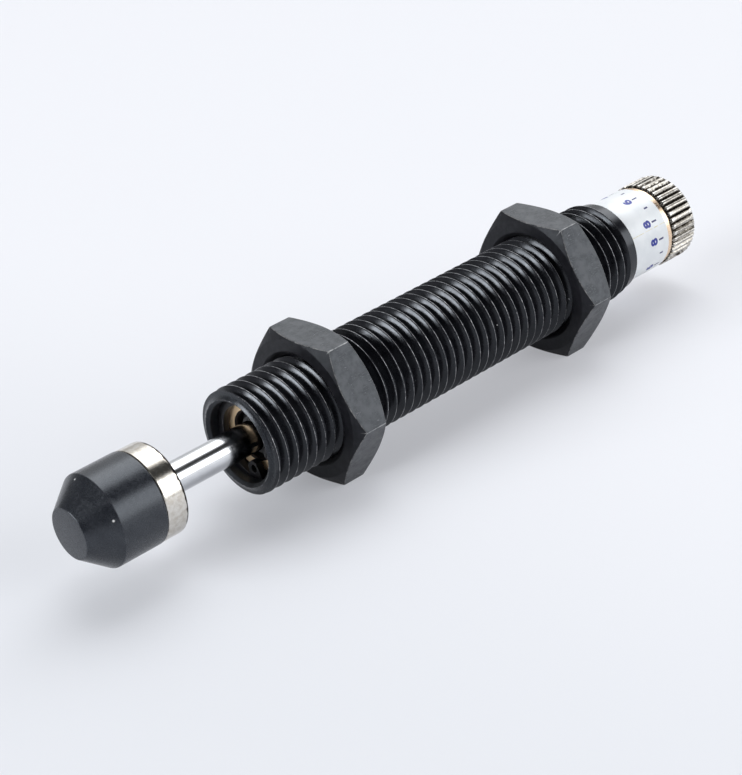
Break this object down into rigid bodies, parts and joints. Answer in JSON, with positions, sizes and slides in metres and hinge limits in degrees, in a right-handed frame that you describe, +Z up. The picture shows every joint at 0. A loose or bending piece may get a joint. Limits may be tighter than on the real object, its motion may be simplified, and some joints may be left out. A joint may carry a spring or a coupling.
{
  "type": "adjustable shock absorber",
  "caption": "Threaded cylindrical shock absorber with a capped piston rod, lock nuts and a knurled adjuster knob with a dial.",
  "frame": {"origin": "on the shock's axis, at the body tube's front face", "axes": "+X along the axis to the adjuster knob, -X to the bumper, +Z up with the nuts' flats level"},
  "size_m": [0.1053, 0.022, 0.019],
  "materials": {
    "black_oxide": "semi-gloss black oxide on a rolled thread",
    "nut_black": "satin black oxide, slightly mottled",
    "spring_steel_black": "phosphated black",
    "spring_steel": "drawn wire",
    "brass": "turned",
    "bearing_bronze": "turned",
    "nitrile": "matte",
    "polyurethane_seal": "satin",
    "foam": "closed-cell foam",
    "ground_steel": "ground",
    "nickel": "polished nickel plate",
    "hard_chrome": "polished hard chrome",
    "label_foil": "printed silver-white foil",
    "urethane": "moulded, matte"
  },
  "bodies": {
    "tube": {"body_tube": "black_oxide", "circlip": "spring_steel_black", "stop_washer": "brass", "rod_wiper": "nitrile", "rod_seal": "polyurethane_seal", "rod_bearing": "bearing_bronze", "bearing_o_ring": "nitrile", "accumulator_foam": "foam", "thrust_washer": "bearing_bronze"},
    "rod": {"piston_rod": "hard_chrome", "piston": "ground_steel", "piston_ring": "bearing_bronze", "spring_seat": "ground_steel", "piston_nut": "ground_steel", "return_spring": "spring_steel", "bumper_holder": "nickel", "bumper_cap": "urethane"},
    "adjuster": {"adjuster_knob": "nickel", "scale_label": "label_foil", "knob_set_screw": "spring_steel_black", "adjuster_shaft": "ground_steel", "adjuster_o_ring": "nitrile", "pressure_tube": "ground_steel"},
    "front_lock_nut": {"front_nut": "nut_black"},
    "rear_lock_nut": {"rear_nut": "nut_black"}
  },
  "joints": [
    {"name": "rod_slide", "type": "slide", "parent": "tube", "child": "rod", "axis": [1, 0, 0], "range_m": [0, 0.012], "stiffness_N_per_m": 400, "springref_m": -0.015, "deforming": ["return_spring"]},
    {"name": "knob_turn", "type": "hinge", "parent": "tube", "child": "adjuster", "pos_m": [0.0738, 0, 0], "axis": [-1, 0, 0], "range_deg": [0, 333]},
    {"name": "front_nut_travel", "type": "slide", "parent": "tube", "child": "front_lock_nut", "axis": [1, 0, 0], "range_m": [-0.01, 0.018]},
    {"name": "rear_nut_travel", "type": "slide", "parent": "tube", "child": "rear_lock_nut", "axis": [1, 0, 0], "range_m": [-0.018, 0.009]}
  ]
}
